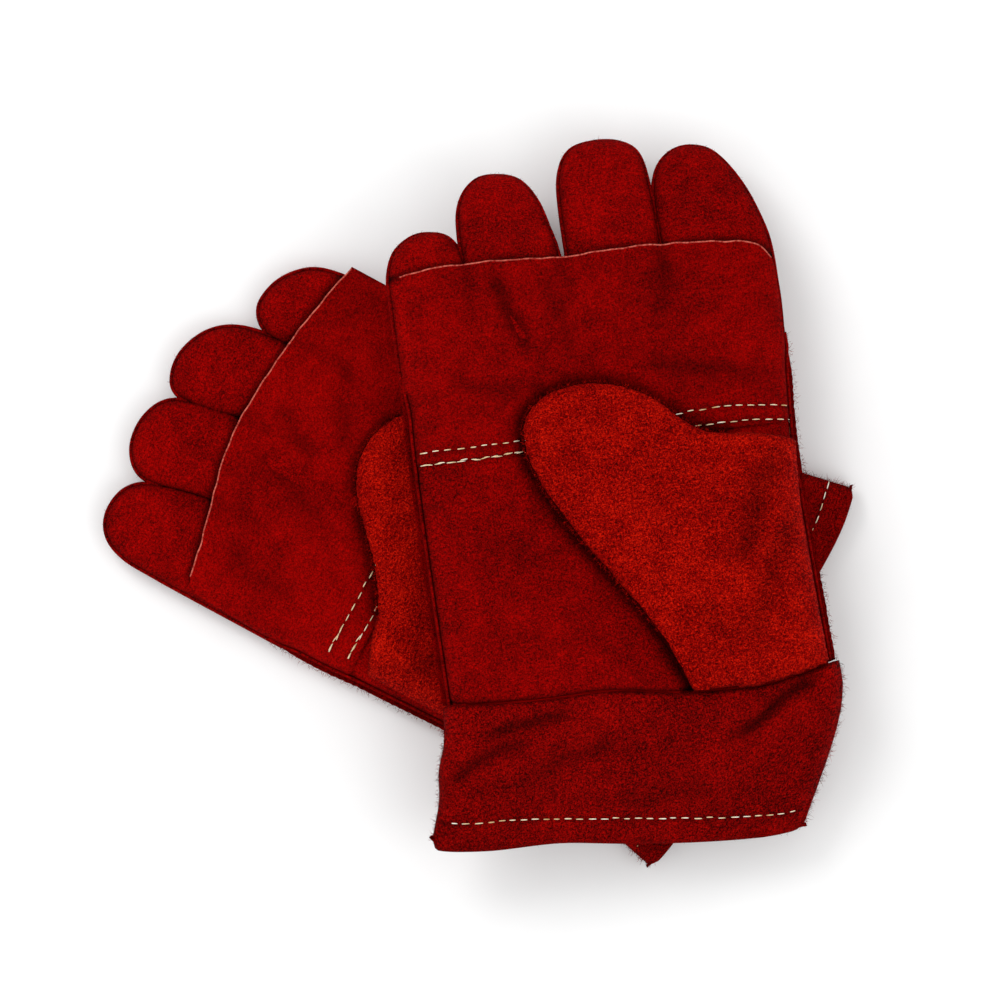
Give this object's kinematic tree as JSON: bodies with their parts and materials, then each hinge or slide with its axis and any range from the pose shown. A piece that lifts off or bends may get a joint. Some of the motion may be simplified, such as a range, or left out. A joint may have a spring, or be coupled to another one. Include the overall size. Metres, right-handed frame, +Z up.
{
  "type": "welding gloves",
  "caption": "Pair of short-cuff suede welding gloves lying palm up, one across the other, with thumbs folded over the palms.",
  "frame": {"origin": "centre of the pair's footprint, on the surface it lies on", "axes": "+Z up from the surface, +Y towards the fingertips of the upper glove, +X towards its thumb side"},
  "size_m": [0.2778, 0.267, 0.0622],
  "materials": {
    "hand_suede": "napped split suede, deep red",
    "patch_suede": "napped split suede, deep red, smoother nap",
    "thumb_suede": "napped split suede, warmer red, long nap",
    "cuff_suede": "napped split suede, darker red, creased",
    "fleece_lining": "brushed cotton fleece",
    "sewing_thread": "twisted cream thread"
  },
  "bodies": {
    "right_hand": {"right_back_panel": "hand_suede", "right_palm_panel": "hand_suede", "right_palm_patch": "patch_suede", "right_patch_stitching": "sewing_thread", "right_seam_welts": "hand_suede", "right_hand_lining": "fleece_lining", "right_cuff_palm": "cuff_suede", "right_cuff_back": "cuff_suede", "right_cuff_hem": "cuff_suede", "right_hem_stitching": "sewing_thread", "right_thumb_gusset": "thumb_suede"},
    "right_thumb": {"right_thumb_front": "thumb_suede", "right_thumb_back": "thumb_suede", "right_thumb_lining": "fleece_lining"},
    "right_index": {"right_index_front": "hand_suede", "right_index_back": "hand_suede", "right_index_fourchette": "hand_suede", "right_index_lining": "fleece_lining"},
    "right_middle": {"right_middle_front": "hand_suede", "right_middle_back": "hand_suede", "right_middle_fourchette": "hand_suede", "right_middle_lining": "fleece_lining"},
    "right_ring": {"right_ring_front": "hand_suede", "right_ring_back": "hand_suede", "right_ring_fourchette": "hand_suede", "right_ring_lining": "fleece_lining"},
    "right_little": {"right_little_front": "hand_suede", "right_little_back": "hand_suede", "right_little_fourchette": "hand_suede", "right_little_lining": "fleece_lining"},
    "left_hand": {"left_back_panel": "hand_suede", "left_palm_panel": "hand_suede", "left_palm_patch": "patch_suede", "left_patch_stitching": "sewing_thread", "left_seam_welts": "hand_suede", "left_hand_lining": "fleece_lining", "left_cuff_palm": "cuff_suede", "left_cuff_back": "cuff_suede", "left_cuff_hem": "cuff_suede", "left_hem_stitching": "sewing_thread", "left_thumb_gusset": "thumb_suede"},
    "left_thumb": {"left_thumb_front": "thumb_suede", "left_thumb_back": "thumb_suede", "left_thumb_lining": "fleece_lining"},
    "left_index": {"left_index_front": "hand_suede", "left_index_back": "hand_suede", "left_index_fourchette": "hand_suede", "left_index_lining": "fleece_lining"},
    "left_middle": {"left_middle_front": "hand_suede", "left_middle_back": "hand_suede", "left_middle_fourchette": "hand_suede", "left_middle_lining": "fleece_lining"},
    "left_ring": {"left_ring_front": "hand_suede", "left_ring_back": "hand_suede", "left_ring_fourchette": "hand_suede", "left_ring_lining": "fleece_lining"},
    "left_little": {"left_little_front": "hand_suede", "left_little_back": "hand_suede", "left_little_fourchette": "hand_suede", "left_little_lining": "fleece_lining"}
  },
  "joints": [
    {"name": "right_glove_lift", "type": "slide", "parent": "left_hand", "child": "right_hand", "axis": [0, 0, 1], "range_m": [0, 0.12]},
    {"name": "right_index_bend", "type": "hinge", "parent": "right_hand", "child": "right_index", "pos_m": [0.08877, 0.10033, 0.03967], "axis": [0.9812, 0.1732, -0.0848], "range_deg": [0, 70]},
    {"name": "right_middle_bend", "type": "hinge", "parent": "right_hand", "child": "right_middle", "pos_m": [0.05069, 0.09565, 0.04287], "axis": [0.9891, 0.1214, -0.0832], "range_deg": [0, 70]},
    {"name": "right_ring_bend", "type": "hinge", "parent": "right_hand", "child": "right_ring", "pos_m": [0.01261, 0.09098, 0.04607], "axis": [0.9891, 0.1214, -0.0832], "range_deg": [0, 70]},
    {"name": "right_little_bend", "type": "hinge", "parent": "right_hand", "child": "right_little", "pos_m": [-0.01756, 0.08727, 0.04861], "axis": [0.9891, 0.1214, -0.0832], "range_deg": [0, 70]},
    {"name": "right_thumb_swing", "type": "hinge", "parent": "right_hand", "child": "right_thumb", "pos_m": [0.08653, -0.01775, 0.05574], "axis": [0.1295, 0.9916, 0.0051], "range_deg": [0, 100]},
    {"name": "left_index_bend", "type": "hinge", "parent": "left_hand", "child": "left_index", "pos_m": [-0.1036, -0.01483, 0.016], "axis": [0.2672, 0.9636, 0], "range_deg": [0, 70]},
    {"name": "left_middle_bend", "type": "hinge", "parent": "left_hand", "child": "left_middle", "pos_m": [-0.0879, 0.01533, 0.016], "axis": [0.2672, 0.9636, 0], "range_deg": [0, 70]},
    {"name": "left_ring_bend", "type": "hinge", "parent": "left_hand", "child": "left_ring", "pos_m": [-0.07266, 0.0446, 0.016], "axis": [0.2672, 0.9636, 0], "range_deg": [0, 70]},
    {"name": "left_little_bend", "type": "hinge", "parent": "left_hand", "child": "left_little", "pos_m": [-0.05835, 0.0721, 0.016], "axis": [0.2672, 0.9636, 0], "range_deg": [0, 70]},
    {"name": "left_thumb_swing", "type": "hinge", "parent": "left_hand", "child": "left_thumb", "pos_m": [0.01014, -0.05048, 0.02674], "axis": [0.9723, -0.2264, -0.058], "range_deg": [0, 35]}
  ],
  "couplings": [
    {"joint": "left_thumb_swing", "follows": "right_glove_lift", "rad_per_m": 5}
  ]
}
